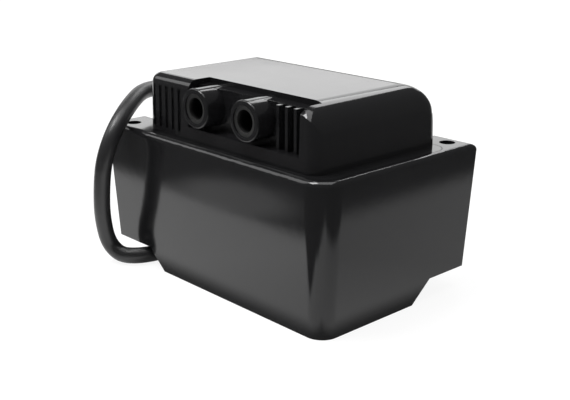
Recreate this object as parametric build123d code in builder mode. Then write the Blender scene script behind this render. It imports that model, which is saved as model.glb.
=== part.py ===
from build123d import *
import math
import os

os.makedirs("parts", exist_ok=True)

# Ignition transformer for an oil or gas burner: a potted plastic housing with two
# diagonal mounting lugs, a stepped cover with two high voltage outlets, and a mains lead.
# Frame: origin on the ground under the middle of the housing's outline, X along the
# long front face (the outlets look along -Y), Y to the back, Z up. Millimetres.

# Housing, a drafted tub with an open top
housing_length = 120.0
housing_width = 78.0
housing_height = 55.0
draft_angle = 2.5
wall = 4.0
floor_thickness = 3.0
tub_corner = 9.0
lug_corner = 5.0
inner_corner = 3.0
rim_round = 2.2

# Mounting lugs: one at the left end, flush with the front, one at the back, flush
# with the right end
left_lug_reach = 18.5
left_lug_width = 18.0
rear_lug_reach = 9.5
rear_lug_width = 20.0
lug_lift = 8.0
lug_ramp = 9.0
ramp_inset_left = 3.5
ramp_inset_rear = 11.5
notch_margin = 2.0
lug_hole = 5.8
lug_core = 7.0
lug_seat = 10.0
hole_from_end = 8.5
hole_from_side = 6.5

# Cover, with its flange let into the top of the tub
cover_height = 22.0
cover_flange = 3.0
flange_bearing = 1.2
fit = 0.25
cover_wall = 2.6
cover_corner = 5.0
cover_draft = 2.0
cover_round = 4.0
ledge_left = 2.0
ledge_right = 8.5
ledge_front = 4.5
ledge_back = 2.0

# Stepped front of the cover
step_depth = 10.5
step_drop = 2.0
bay_depth = 5.5
bay_sill = 5.0
bay_left = 25.5
bay_right = 7.5
rib_width = 1.3
rib_number = 3
rib_depth = 3.0
flute_width = 1.6
flute_pitch = 3.8
flute_depth = 0.9

# High voltage outlets: tubes moulded on the cover, with an insulator and a pin in each
outlet_diameter = 14.5
outlet_insert = 11.0
outlet_bore = 8.0
outlet_depth = 22.0
outlet_length = 25.0
outlet_proud = 8.0
outlet_recess = 0.6
outlet_spacing = 26.5
outlet_from_right = 31.5
outlet_above_rim = 13.3
outlet_round = 0.7
outlet_collar = 12.0
collar_thickness = 2.0
pin_diameter = 3.0
pin_spike = 12.0
pin_tail = 4.0

# Laminated core, lying flat, with its centre leg along X
core_end_gap = 5.0
core_side_gap = 4.0
core_stack = 20.0
core_yoke = 8.0
window_height = 9.0
core_lift = 17.0
shunt_thickness = 4.0
shunt_gap = 0.5
leg_clearance = 0.25
bobbin_wall = 1.2
bobbin_margin = 0.25
primary_length = 20.0
winding_build = 6.1
wrap_thickness = 0.4
flange_above_wrap = 1.0
winding_corner = 3.0
resin_top = 50.0

# Leads inside the housing
hv_lead_diameter = 3.0
hv_lead_bend = 3.0
hv_lead_rise = 4.0
inner_core_spacing = 2.6
inner_core_bend = 8.0
earth_tag_length = 10.0
earth_tag_width = 6.0
earth_tag_thickness = 0.8
rivet_diameter = 3.6
rivet_height = 1.6

# Mains lead and its moulded strain relief
cable_diameter = 6.4
relief_root = 11.5
relief_tip = 8.0
relief_straight = 5.0
relief_bend = 20.0
relief_turn = 50.0
relief_flange = 16.0
relief_flange_thickness = 2.0
relief_neck = 10.0
relief_collar = 13.0
relief_collar_thickness = 1.6
lead_height = 9.0
lead_behind_outlets = 17.0
core_diameter = 2.3
ferrule_collar = 3.0
ferrule_collar_length = 3.0
ferrule_pin = 1.4
ferrule_length = 8.0
coil_turn_pitch = 6.6
coil_start_radius = 41.0
tie_width = 4.0
tie_thickness = 0.8

# Places worked out from those sizes
left = -housing_length / 2
right = housing_length / 2
front = -housing_width / 2
back = housing_width / 2
tub_left = left + left_lug_reach
tub_back = back - rear_lug_reach
lug_back = front + left_lug_width
lug_left = right - rear_lug_width
rim = housing_height
cover_left = tub_left + ledge_left
cover_right = right - ledge_right
cover_front = front + ledge_front
cover_back = tub_back - ledge_back
top = rim + cover_height
flange_seat = rim - cover_flange
ramp_left = tub_left + ramp_inset_left
ramp_back = tub_back - ramp_inset_rear
hole_places = [
    (left + hole_from_end, front + hole_from_side),
    (right - hole_from_end, back - hole_from_side),
]


cover_size = (cover_right - cover_left, cover_back - cover_front)
cover_middle = ((cover_left + cover_right) / 2, (cover_front + cover_back) / 2)
bay_start = cover_left + bay_left
bay_end = cover_right - bay_right
bay_back = cover_front + bay_depth
step_edge = cover_front + step_depth
step_top = top - step_drop
bay_floor = rim + bay_sill
outlet_z = rim + outlet_above_rim
outlet_places = [cover_right - outlet_from_right - outlet_spacing, cover_right - outlet_from_right]
outlet_face = bay_back - outlet_proud
outlet_rear = outlet_face + outlet_length
lead_y = outlet_rear + lead_behind_outlets
lead_z = rim + lead_height
core_middle_x = (tub_left + wall + right - wall) / 2
core_middle_y = (front + wall + tub_back - wall) / 2
core_z = core_lift + core_stack / 2
core_left = tub_left + wall + core_end_gap
core_right = right - wall - core_end_gap
core_width = tub_back - front - 2 * wall - 2 * core_side_gap
core_leg = core_width - 2 * window_height - 2 * core_yoke
window_left = core_left + core_yoke
window_right = core_right - core_yoke
window_length = window_right - window_left
secondary_length = (window_length - primary_length) / 2 - shunt_thickness - 2 * shunt_gap
primary_start = (window_left + window_right - primary_length) / 2
secondary_right_start = window_right - secondary_length
shunt_left_start = window_left + secondary_length + shunt_gap
shunt_right_start = secondary_right_start - shunt_gap - shunt_thickness
bobbin_inside = (core_leg + 2 * leg_clearance, core_stack + 2 * leg_clearance)
tube_outside = (bobbin_inside[0] + 2 * bobbin_wall, bobbin_inside[1] + 2 * bobbin_wall)
winding_outside = (tube_outside[0] + 2 * winding_build, tube_outside[1] + 2 * winding_build)
wrap_outside = (winding_outside[0] + 2 * wrap_thickness, winding_outside[1] + 2 * wrap_thickness)
flange_outside = (
    core_leg + 2 * window_height - 2 * bobbin_margin,
    wrap_outside[1] + 2 * flange_above_wrap,
)
wrap_top = core_z + wrap_outside[1] / 2


def place_tub_rectangle(inset, radius):
    """The main tub's outline in the sketch in hand, moved in by an inset."""
    x_size = right - tub_left - 2 * inset
    y_size = tub_back - front - 2 * inset
    with Locations(((right + tub_left) / 2, (tub_back + front) / 2)):
        RectangleRounded(x_size, y_size, radius)


def ramp_points(outer, ramp_top, lift, direction):
    """A lug's raised underside seen from the side: level, then a ramp down past the ground."""
    slope = direction * lug_ramp / lug_lift
    low = -lug_lift
    ramp_end = ramp_top + slope * (lift - low)
    return [(outer, low), (ramp_end, low), (ramp_top, lift), (outer, lift)]


# The potting space: the tub's inside, kept one floor's thickness off both raised undersides
with BuildPart() as potting_space:
    with BuildSketch(Plane.XY.offset(flange_seat)):
        place_tub_rectangle(wall, tub_corner - wall)
    extrude(amount=-(flange_seat - floor_thickness), taper=draft_angle)
    with BuildSketch(Plane.XZ.offset(-front)):
        with BuildLine():
            Polyline(*ramp_points(left, ramp_left + floor_thickness, lug_lift + floor_thickness, 1), close=True)
        make_face()
    extrude(amount=-(left_lug_width + notch_margin + floor_thickness), mode=Mode.SUBTRACT)
    with BuildSketch(Plane.YZ.offset(right)):
        with BuildLine():
            Polyline(*ramp_points(back, ramp_back - floor_thickness, lug_lift + floor_thickness, -1), close=True)
        make_face()
    extrude(amount=-(rear_lug_width + notch_margin + floor_thickness), mode=Mode.SUBTRACT)

# Housing: the outline with both lugs, drafted towards the ground, then hollowed
with BuildPart() as housing:
    with BuildSketch(Plane.XY.offset(rim)) as outline:
        with BuildLine():
            Polyline(
                (left, front),
                (right, front),
                (right, back),
                (lug_left, back),
                (lug_left, tub_back),
                (tub_left, tub_back),
                (tub_left, lug_back),
                (left, lug_back),
                close=True,
            )
        make_face()
        corners = outline.vertices()
        inner = [v for v in corners if (v.X, v.Y) in ((lug_left, tub_back), (tub_left, lug_back))]
        large = [v for v in corners if (v.X, v.Y) in ((right, front), (tub_left, tub_back))]
        small = [v for v in corners if v not in inner and v not in large]
        fillet(large, tub_corner)
        fillet(small, lug_corner)
        fillet([outline.vertices().sort_by_distance(v)[0] for v in inner], inner_corner)
    extrude(amount=-housing_height, taper=draft_angle)
    fillet(housing.faces().sort_by(Axis.Z)[-1].outer_wire().edges(), rim_round)
    # Raised undersides of the two lugs, each with a ramp down to the foot
    with BuildSketch(Plane.XZ.offset(-front + lug_corner)):
        with BuildLine():
            Polyline(*ramp_points(left - lug_lift, ramp_left, lug_lift, 1), close=True)
        make_face()
    extrude(amount=-(left_lug_width + notch_margin + lug_corner), mode=Mode.SUBTRACT)
    with BuildSketch(Plane.YZ.offset(right + lug_corner)):
        with BuildLine():
            Polyline(*ramp_points(back + lug_lift, ramp_back, lug_lift, -1), close=True)
        make_face()
    extrude(amount=-(rear_lug_width + notch_margin + lug_corner), mode=Mode.SUBTRACT)
    add(potting_space.part, mode=Mode.SUBTRACT)
    # The rebate that the cover's flange sits in
    with BuildSketch(Plane.XY.offset(flange_seat)):
        place_tub_rectangle(wall - flange_bearing, tub_corner - wall + flange_bearing)
    extrude(amount=cover_flange, mode=Mode.SUBTRACT)
    # Mounting holes: a screw seat at the top of each lug, cored out below
    with BuildSketch(Plane.XY.offset(rim)):
        with Locations(*hole_places):
            Circle(lug_hole / 2)
    extrude(amount=-housing_height, mode=Mode.SUBTRACT)
    with BuildSketch(Plane.XY.offset(rim - lug_seat)):
        with Locations(*hole_places):
            Circle(lug_core / 2)
    extrude(amount=-housing_height, mode=Mode.SUBTRACT)

housing.part.label = "housing"
export_step(housing.part, "parts/housing.step")

# The cover's inside, the shape that the upper potting fills
with BuildPart() as cover_space:
    with BuildSketch(Plane.XY.offset(flange_seat)):
        with Locations(cover_middle):
            RectangleRounded(
                cover_size[0] - 2 * cover_wall, cover_size[1] - 2 * cover_wall, cover_corner - cover_wall
            )
    extrude(amount=cover_flange + cover_height - cover_wall, taper=cover_draft)
    # The bay and the step push the inside back by one wall
    with BuildSketch(Plane.YZ.offset(bay_start - cover_wall)):
        with BuildLine():
            Polyline(
                (cover_front, bay_floor - cover_wall),
                (bay_back + cover_wall, bay_floor - cover_wall),
                (bay_back + cover_wall, step_top - cover_wall),
                (step_edge + cover_wall, step_top - cover_wall),
                (step_edge + cover_wall, top),
                (cover_front, top),
                close=True,
            )
        make_face()
    extrude(amount=bay_end - bay_start + 2 * cover_wall, mode=Mode.SUBTRACT)

# Cover: flange and drafted dome, hollow, with the stepped front and its open bay
with BuildPart() as cover:
    with BuildSketch(Plane.XY.offset(rim)):
        with Locations(cover_middle):
            RectangleRounded(*cover_size, cover_corner)
    extrude(amount=cover_height, taper=cover_draft)
    fillet(cover.faces().sort_by(Axis.Z)[-1].edges(), cover_round)
    with BuildSketch(Plane.XY.offset(flange_seat)):
        place_tub_rectangle(wall - flange_bearing + fit, tub_corner - wall + flange_bearing - fit)
    extrude(amount=cover_flange)
    # The step along the top, and the bay that the outlets stand in
    with BuildSketch(Plane.YZ.offset(bay_start)):
        with BuildLine():
            Polyline(
                (cover_front - bay_depth, bay_floor),
                (bay_back, bay_floor),
                (bay_back, step_top),
                (step_edge, step_top),
                (step_edge, top + step_drop),
                (cover_front - bay_depth, top + step_drop),
                close=True,
            )
        make_face()
    extrude(amount=bay_end - bay_start, mode=Mode.SUBTRACT)
    add(cover_space.part, mode=Mode.SUBTRACT)
    # Ribs on the bay's back wall, to the right of the outlets
    rib_room = outlet_places[1] + outlet_diameter / 2
    rib_pitch = (bay_end - rib_room) / (rib_number + 1)
    rib_height = step_top - bay_floor
    with BuildSketch(Plane.XY.offset(bay_floor)):
        for i in range(rib_number):
            with Locations((rib_room + (i + 1) * rib_pitch, bay_back - rib_depth / 2)):
                Rectangle(rib_width, rib_depth)
    extrude(amount=rib_height)
    # Upright flutes on the solid part of the front, left of the bay
    flute_first = cover_left + cover_corner
    flute_count = int((bay_start - flute_pitch / 2 - flute_first) / flute_pitch) + 1
    flute_top = cover_height - cover_round - bay_sill / 2
    with BuildSketch(Plane.XY.offset(rim + bay_sill / 2)):
        for i in range(flute_count):
            with Locations((flute_first + i * flute_pitch, cover_front)):
                Rectangle(flute_width, 2 * flute_depth)
    extrude(amount=flute_top, taper=-cover_draft / 2, mode=Mode.SUBTRACT)
    # Outlet tubes, moulded through the bay's back wall
    with BuildSketch(Plane.XZ.offset(-outlet_face)):
        with Locations(*[(x, outlet_z) for x in outlet_places]):
            Circle(outlet_diameter / 2)
    extrude(amount=-outlet_length)
    tube_rims = cover.edges().filter_by(GeomType.CIRCLE).group_by(Axis.Y)[0]
    fillet(tube_rims, outlet_round)
    with BuildSketch(Plane.XZ.offset(-outlet_face)):
        with Locations(*[(x, outlet_z) for x in outlet_places]):
            Circle(outlet_insert / 2)
    extrude(amount=-outlet_length, mode=Mode.SUBTRACT)
    # Hole for the lead's strain relief
    with BuildSketch(Plane.YZ.offset(cover_left)):
        with Locations((lead_y, lead_z)):
            Circle(relief_neck / 2)
    extrude(amount=2 * cover_wall, mode=Mode.SUBTRACT)

cover.part.label = "cover"
export_step(cover.part, "parts/cover.step")

# Outlet insulators, with a collar behind the tube and a closed inner end round the pin
with BuildPart() as outlet_insulator_left:
    with BuildSketch(Plane.XZ.offset(-(outlet_face + outlet_recess))):
        with Locations((outlet_places[0], outlet_z)):
            Circle(outlet_insert / 2)
    extrude(amount=-(outlet_length - outlet_recess))
    with BuildSketch(Plane.XZ.offset(-outlet_rear)):
        with Locations((outlet_places[0], outlet_z)):
            Circle(outlet_collar / 2)
    extrude(amount=-collar_thickness)
    with BuildSketch(Plane.XZ.offset(-outlet_face)):
        with Locations((outlet_places[0], outlet_z)):
            Circle(outlet_bore / 2)
    extrude(amount=-outlet_depth, mode=Mode.SUBTRACT)
    with BuildSketch(Plane.XZ.offset(-outlet_face)):
        with Locations((outlet_places[0], outlet_z)):
            Circle(pin_diameter / 2)
    extrude(amount=-(outlet_length + collar_thickness), mode=Mode.SUBTRACT)

outlet_insulator_left.part.label = "outlet_insulator_left"
export_step(outlet_insulator_left.part, "parts/outlet_insulator_left.step")

with BuildPart() as outlet_insulator_right:
    with Locations((outlet_spacing, 0, 0)):
        add(outlet_insulator_left.part)

outlet_insulator_right.part.label = "outlet_insulator_right"
export_step(outlet_insulator_right.part, "parts/outlet_insulator_right.step")

# Brass outlet pins: a spike that the ignition lead is pushed on to, and a tail inside
with BuildPart() as outlet_pin_left:
    with BuildSketch(Plane.YZ.offset(outlet_places[0])):
        with BuildLine():
            Polyline(
                (outlet_face + outlet_depth - pin_spike, outlet_z),
                (outlet_face + outlet_depth - pin_spike + pin_diameter, outlet_z + pin_diameter / 2),
                (outlet_rear + collar_thickness + pin_tail, outlet_z + pin_diameter / 2),
                (outlet_rear + collar_thickness + pin_tail, outlet_z),
                close=True,
            )
        make_face()
    revolve(axis=Axis((outlet_places[0], 0, outlet_z), (0, 1, 0)))

outlet_pin_left.part.label = "outlet_pin_left"
export_step(outlet_pin_left.part, "parts/outlet_pin_left.step")

with BuildPart() as outlet_pin_right:
    with Locations((outlet_spacing, 0, 0)):
        add(outlet_pin_left.part)

outlet_pin_right.part.label = "outlet_pin_right"
export_step(outlet_pin_right.part, "parts/outlet_pin_right.step")

# Core: an E stack of laminations and the I stack that closes it
with BuildPart() as core_e:
    with BuildSketch(Plane.XY.offset(core_lift)):
        with Locations(((core_left + window_right) / 2, core_middle_y)):
            Rectangle(window_right - core_left, core_width)
        for side in (-1, 1):
            window_y = core_middle_y + side * (core_leg + window_height) / 2
            with Locations(((window_left + window_right) / 2, window_y)):
                Rectangle(window_right - window_left, window_height, mode=Mode.SUBTRACT)
    extrude(amount=core_stack)

core_e.part.label = "core_e"
export_step(core_e.part, "parts/core_e.step")

with BuildPart() as core_i:
    with BuildSketch(Plane.XY.offset(core_lift)):
        with Locations((core_right - core_yoke / 2, core_middle_y)):
            Rectangle(core_yoke, core_width)
    extrude(amount=core_stack)

core_i.part.label = "core_i"
export_step(core_i.part, "parts/core_i.step")

# Magnetic shunts between primary and secondaries, two packs in each window
with BuildPart() as shunts_left:
    with BuildSketch(Plane.XY.offset(core_lift)):
        for side in (-1, 1):
            shunt_y = core_middle_y + side * (core_leg + window_height + shunt_gap) / 2
            with Locations((shunt_left_start + shunt_thickness / 2, shunt_y)):
                Rectangle(shunt_thickness, window_height - shunt_gap)
    extrude(amount=core_stack)

shunts_left.part.label = "shunts_left"
export_step(shunts_left.part, "parts/shunts_left.step")

with BuildPart() as shunts_right:
    with Locations((shunt_right_start - shunt_left_start, 0, 0)):
        add(shunts_left.part)

shunts_right.part.label = "shunts_right"
export_step(shunts_right.part, "parts/shunts_right.step")

# Bobbins: a square tube on the centre leg with a flange at each end
with BuildPart() as primary_bobbin:
    with BuildSketch(Plane.YZ.offset(primary_start)):
        with Locations((core_middle_y, core_z)):
            Rectangle(*tube_outside)
    extrude(amount=primary_length)
    with BuildSketch(
        Plane.YZ.offset(primary_start),
        Plane.YZ.offset(primary_start + primary_length - bobbin_wall),
    ):
        with Locations((core_middle_y, core_z)):
            RectangleRounded(*flange_outside, winding_corner)
    extrude(amount=bobbin_wall)
    with BuildSketch(Plane.YZ.offset(primary_start)):
        with Locations((core_middle_y, core_z)):
            Rectangle(*bobbin_inside)
    extrude(amount=primary_length, mode=Mode.SUBTRACT)

primary_bobbin.part.label = "primary_bobbin"
export_step(primary_bobbin.part, "parts/primary_bobbin.step")

with BuildPart() as secondary_bobbin_left:
    with BuildSketch(Plane.YZ.offset(window_left)):
        with Locations((core_middle_y, core_z)):
            Rectangle(*tube_outside)
    extrude(amount=secondary_length)
    with BuildSketch(
        Plane.YZ.offset(window_left),
        Plane.YZ.offset(window_left + secondary_length - bobbin_wall),
    ):
        with Locations((core_middle_y, core_z)):
            RectangleRounded(*flange_outside, winding_corner)
    extrude(amount=bobbin_wall)
    with BuildSketch(Plane.YZ.offset(window_left)):
        with Locations((core_middle_y, core_z)):
            Rectangle(*bobbin_inside)
    extrude(amount=secondary_length, mode=Mode.SUBTRACT)

secondary_bobbin_left.part.label = "secondary_bobbin_left"
export_step(secondary_bobbin_left.part, "parts/secondary_bobbin_left.step")

with BuildPart() as secondary_bobbin_right:
    with Locations((secondary_right_start - window_left, 0, 0)):
        add(secondary_bobbin_left.part)

secondary_bobbin_right.part.label = "secondary_bobbin_right"
export_step(secondary_bobbin_right.part, "parts/secondary_bobbin_right.step")

# Windings between the flanges, and the tape round each
with BuildPart() as primary_winding:
    with BuildSketch(Plane.YZ.offset(primary_start + bobbin_wall)):
        with Locations((core_middle_y, core_z)):
            RectangleRounded(*winding_outside, winding_corner)
            Rectangle(*tube_outside, mode=Mode.SUBTRACT)
    extrude(amount=primary_length - 2 * bobbin_wall)

primary_winding.part.label = "primary_winding"
export_step(primary_winding.part, "parts/primary_winding.step")

with BuildPart() as secondary_winding_left:
    with BuildSketch(Plane.YZ.offset(window_left + bobbin_wall)):
        with Locations((core_middle_y, core_z)):
            RectangleRounded(*winding_outside, winding_corner)
            Rectangle(*tube_outside, mode=Mode.SUBTRACT)
    extrude(amount=secondary_length - 2 * bobbin_wall)

secondary_winding_left.part.label = "secondary_winding_left"
export_step(secondary_winding_left.part, "parts/secondary_winding_left.step")

with BuildPart() as secondary_winding_right:
    with Locations((secondary_right_start - window_left, 0, 0)):
        add(secondary_winding_left.part)

secondary_winding_right.part.label = "secondary_winding_right"
export_step(secondary_winding_right.part, "parts/secondary_winding_right.step")

with BuildPart() as primary_tape:
    with BuildSketch(Plane.YZ.offset(primary_start + bobbin_wall)):
        with Locations((core_middle_y, core_z)):
            RectangleRounded(*wrap_outside, winding_corner + wrap_thickness)
            RectangleRounded(*winding_outside, winding_corner, mode=Mode.SUBTRACT)
    extrude(amount=primary_length - 2 * bobbin_wall)

primary_tape.part.label = "primary_tape"
export_step(primary_tape.part, "parts/primary_tape.step")

with BuildPart() as secondary_tape_left:
    with BuildSketch(Plane.YZ.offset(window_left + bobbin_wall)):
        with Locations((core_middle_y, core_z)):
            RectangleRounded(*wrap_outside, winding_corner + wrap_thickness)
            RectangleRounded(*winding_outside, winding_corner, mode=Mode.SUBTRACT)
    extrude(amount=secondary_length - 2 * bobbin_wall)

secondary_tape_left.part.label = "secondary_tape_left"
export_step(secondary_tape_left.part, "parts/secondary_tape_left.step")

with BuildPart() as secondary_tape_right:
    with Locations((secondary_right_start - window_left, 0, 0)):
        add(secondary_tape_left.part)

secondary_tape_right.part.label = "secondary_tape_right"
export_step(secondary_tape_right.part, "parts/secondary_tape_right.step")

# High voltage leads from each secondary up to the pins' tails
hv_end_y = outlet_rear + collar_thickness + pin_tail
hv_left_x = window_left + secondary_length / 2
hv_right_x = secondary_right_start + secondary_length / 2
with BuildPart() as hv_lead_left:
    with BuildLine() as hv_left_line:
        FilletPolyline(
            (hv_left_x, hv_end_y + hv_lead_rise, wrap_top),
            (hv_left_x, hv_end_y + hv_lead_rise, outlet_z),
            (outlet_places[0], hv_end_y + hv_lead_rise, outlet_z),
            (outlet_places[0], hv_end_y, outlet_z),
            radius=min(hv_lead_bend, abs(outlet_places[0] - hv_left_x) * 0.45),
        )
    with BuildSketch(Plane(hv_left_line.line @ 0, z_dir=hv_left_line.line % 0)):
        Circle(hv_lead_diameter / 2)
    sweep()

hv_lead_left.part.label = "hv_lead_left"
export_step(hv_lead_left.part, "parts/hv_lead_left.step")

with BuildPart() as hv_lead_right:
    with BuildLine() as hv_right_line:
        FilletPolyline(
            (hv_right_x, hv_end_y + hv_lead_rise, wrap_top),
            (hv_right_x, hv_end_y + hv_lead_rise, outlet_z),
            (outlet_places[1], hv_end_y + hv_lead_rise, outlet_z),
            (outlet_places[1], hv_end_y, outlet_z),
            radius=min(hv_lead_bend, abs(outlet_places[1] - hv_right_x) * 0.45),
        )
    with BuildSketch(Plane(hv_right_line.line @ 0, z_dir=hv_right_line.line % 0)):
        Circle(hv_lead_diameter / 2)
    sweep()

hv_lead_right.part.label = "hv_lead_right"
export_step(hv_lead_right.part, "parts/hv_lead_right.step")

# Strain relief: a snap-in moulding through the cover's end wall, tapered along the bend
turn = math.radians(relief_turn)
bend_start = (cover_left - relief_straight, lead_y, lead_z)
relief_end = (
    bend_start[0] - relief_bend * math.sin(turn),
    bend_start[1] - relief_bend * (1 - math.cos(turn)),
    lead_z,
)
taper_steps = 5
relief_foot = (cover_left - relief_flange_thickness / 2, lead_y, lead_z)
taper_planes = [Plane(relief_foot, x_dir=(0, 0, 1), z_dir=(-1, 0, 0))]
for i in range(taper_steps + 1):
    angle = turn * i / taper_steps
    spot = (
        bend_start[0] - relief_bend * math.sin(angle),
        bend_start[1] - relief_bend * (1 - math.cos(angle)),
        lead_z,
    )
    heading = (-math.cos(angle), -math.sin(angle), 0)
    taper_planes.append(Plane(spot, x_dir=(0, 0, 1), z_dir=heading))
with BuildPart() as strain_relief:
    for i, taper_plane in enumerate(taper_planes):
        share = i / (len(taper_planes) - 1)
        with BuildSketch(taper_plane):
            Circle((relief_root + (relief_tip - relief_root) * share) / 2)
    loft()
    with BuildSketch(Plane.YZ.offset(cover_left - relief_flange_thickness)):
        with Locations((lead_y, lead_z)):
            Circle(relief_flange / 2)
    extrude(amount=relief_flange_thickness + cover_wall / 2)
    fillet(strain_relief.edges().filter_by(GeomType.CIRCLE).sort_by(SortBy.RADIUS)[-1], fit)
    with BuildSketch(Plane.YZ.offset(cover_left)):
        with Locations((lead_y, lead_z)):
            Circle(relief_neck / 2)
    extrude(amount=2 * cover_wall)
    with BuildSketch(Plane.YZ.offset(cover_left + cover_wall)):
        with Locations((lead_y, lead_z)):
            Circle(relief_collar / 2)
    extrude(amount=cover_wall / 2 + relief_collar_thickness)
    add(cover.part, mode=Mode.SUBTRACT)

strain_relief.part.label = "strain_relief"
export_step(strain_relief.part, "parts/strain_relief.step")

# Inner cores of the lead: two to the primary, the earth to a tag riveted on the core
inner_start = cover_left + 1.5 * cover_wall + relief_collar_thickness
primary_middle = primary_start + primary_length / 2
with BuildPart() as inner_core_brown:
    with BuildLine() as inner_brown_line:
        FilletPolyline(
            (inner_start, lead_y, lead_z),
            (primary_middle + inner_core_spacing, lead_y, lead_z),
            (primary_middle + inner_core_spacing, lead_y, wrap_top),
            radius=inner_core_bend,
        )
    with BuildSketch(Plane(inner_brown_line.line @ 0, z_dir=inner_brown_line.line % 0)):
        Circle(core_diameter / 2)
    sweep()

inner_core_brown.part.label = "inner_core_brown"
export_step(inner_core_brown.part, "parts/inner_core_brown.step")

with BuildPart() as inner_core_blue:
    with BuildLine() as inner_blue_line:
        FilletPolyline(
            (inner_start, lead_y - inner_core_spacing, lead_z),
            (primary_middle - inner_core_spacing, lead_y - inner_core_spacing, lead_z),
            (primary_middle - inner_core_spacing, lead_y - inner_core_spacing, wrap_top),
            radius=inner_core_bend,
        )
    with BuildSketch(Plane(inner_blue_line.line @ 0, z_dir=inner_blue_line.line % 0)):
        Circle(core_diameter / 2)
    sweep()

inner_core_blue.part.label = "inner_core_blue"
export_step(inner_core_blue.part, "parts/inner_core_blue.step")

tag_x = core_left + core_yoke / 2
tag_top = core_lift + core_stack + earth_tag_thickness
with BuildPart() as inner_core_earth:
    with BuildLine() as inner_earth_line:
        FilletPolyline(
            (inner_start, lead_y + inner_core_spacing, lead_z),
            (tag_x, lead_y + inner_core_spacing, lead_z),
            (tag_x, lead_y + inner_core_spacing, tag_top),
            radius=(tag_x - inner_start) * 0.9,
        )
    with BuildSketch(Plane(inner_earth_line.line @ 0, z_dir=inner_earth_line.line % 0)):
        Circle(core_diameter / 2)
    sweep()

inner_core_earth.part.label = "inner_core_earth"
export_step(inner_core_earth.part, "parts/inner_core_earth.step")

with BuildPart() as earth_tag:
    with BuildSketch(Plane.XY.offset(core_lift + core_stack)):
        with Locations((tag_x, lead_y + inner_core_spacing - earth_tag_length / 4)):
            RectangleRounded(earth_tag_width, earth_tag_length, earth_tag_width / 3)
    extrude(amount=earth_tag_thickness)
    with BuildSketch(Plane.XY.offset(tag_top)):
        with Locations((tag_x, lead_y + inner_core_spacing - earth_tag_length / 2)):
            Circle(rivet_diameter / 2)
    extrude(amount=rivet_height)

earth_tag.part.label = "earth_tag"
export_step(earth_tag.part, "parts/earth_tag.step")

# Potting resin: the potting space up to its level, round everything that stands in it
with BuildPart() as potting_resin:
    add(potting_space.part)
    with BuildSketch(Plane.XY.offset(resin_top)):
        with Locations((core_middle_x, core_middle_y)):
            Rectangle(2 * housing_length, 2 * housing_width)
    extrude(amount=housing_height, mode=Mode.SUBTRACT)
    add(core_e.part, mode=Mode.SUBTRACT)
    add(core_i.part, mode=Mode.SUBTRACT)
    add(shunts_left.part, mode=Mode.SUBTRACT)
    add(shunts_right.part, mode=Mode.SUBTRACT)
    add(primary_bobbin.part, mode=Mode.SUBTRACT)
    add(secondary_bobbin_left.part, mode=Mode.SUBTRACT)
    add(secondary_bobbin_right.part, mode=Mode.SUBTRACT)
    add(primary_winding.part, mode=Mode.SUBTRACT)
    add(secondary_winding_left.part, mode=Mode.SUBTRACT)
    add(secondary_winding_right.part, mode=Mode.SUBTRACT)
    add(primary_tape.part, mode=Mode.SUBTRACT)
    add(secondary_tape_left.part, mode=Mode.SUBTRACT)
    add(secondary_tape_right.part, mode=Mode.SUBTRACT)
    add(hv_lead_left.part, mode=Mode.SUBTRACT)
    add(hv_lead_right.part, mode=Mode.SUBTRACT)
    add(inner_core_brown.part, mode=Mode.SUBTRACT)
    add(inner_core_blue.part, mode=Mode.SUBTRACT)
    add(inner_core_earth.part, mode=Mode.SUBTRACT)
    add(earth_tag.part, mode=Mode.SUBTRACT)

potting_resin.part.label = "potting_resin"
export_step(potting_resin.part, "parts/potting_resin.step")


def tangent_radii(points):
    """The radius at each corner, so that every arc ends short of half its shorter run."""
    radii = []
    for before, corner, after in zip(points, points[1:], points[2:]):
        run_in = Vector(*corner) - Vector(*before)
        run_out = Vector(*after) - Vector(*corner)
        half_turn = math.radians(run_in.get_angle(run_out)) / 2
        radii.append(0.45 * min(run_in.length, run_out.length) / math.tan(half_turn))
    return radii


# Mains lead: out of the relief, forward over the left lug, down in front of the housing,
# back under the lug and along the ground to the coil behind
ground = cable_diameter / 2
coil_middle = (-38.0, 68.0)
coil_entry = (coil_middle[0] - coil_start_radius, coil_middle[1], ground)
cable_points = [
    relief_end,
    (relief_end[0] - 6.5 * math.cos(turn), relief_end[1] - 6.5 * math.sin(turn), lead_z),
    (-64.0, -14.8, 64.3),
    (-60.0, -22.8, 64.4),
    (-54.0, -31.0, 62.9),
    (-48.6, -39.0, 59.9),
    (-45.4, -45.4, 55.2),
    (-44.8, -49.2, 49.2),
    (-46.2, -50.6, 42.6),
    (-48.2, -50.4, 36.0),
    (-49.8, -50.0, 29.4),
    (-51.2, -49.4, 22.8),
    (-52.4, -48.2, 16.4),
    (-53.4, -46.5, 10.2),
    (-52.3, -45.0, 6.0),
    (-48.8, -43.2, ground),
    (-43.9, -39.9, ground),
    (-41.2, -33.4, ground),
    (-41.0, -27.6, ground),
    (-42.2, -20.0, ground),
    (-46.0, -8.0, ground),
    (-52.6, 4.6, ground),
    (-61.8, 17.0, ground),
    (-70.0, 31.0, ground),
    (-77.2, 45.0, ground),
    (-79.0, 58.4, ground),
    coil_entry,
]
cable_radii = tangent_radii(cable_points)
print("lead radii", [round(r, 1) for r in cable_radii])
with BuildPart() as mains_cable:
    with BuildLine() as cable_line:
        FilletPolyline(*cable_points, radius=cable_radii)
    with BuildSketch(Plane(cable_line.line @ 0, z_dir=cable_line.line % 0)):
        Circle(cable_diameter / 2)
    sweep()

mains_cable.part.label = "mains_cable"
export_step(mains_cable.part, "parts/mains_cable.step")
cable_length = cable_line.wires()[0].length
cable_section = math.pi * cable_diameter**2 / 4
print("lead length", round(cable_length, 1))
print("lead volume share", round(mains_cable.part.volume / (cable_section * cable_length), 3))

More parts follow.
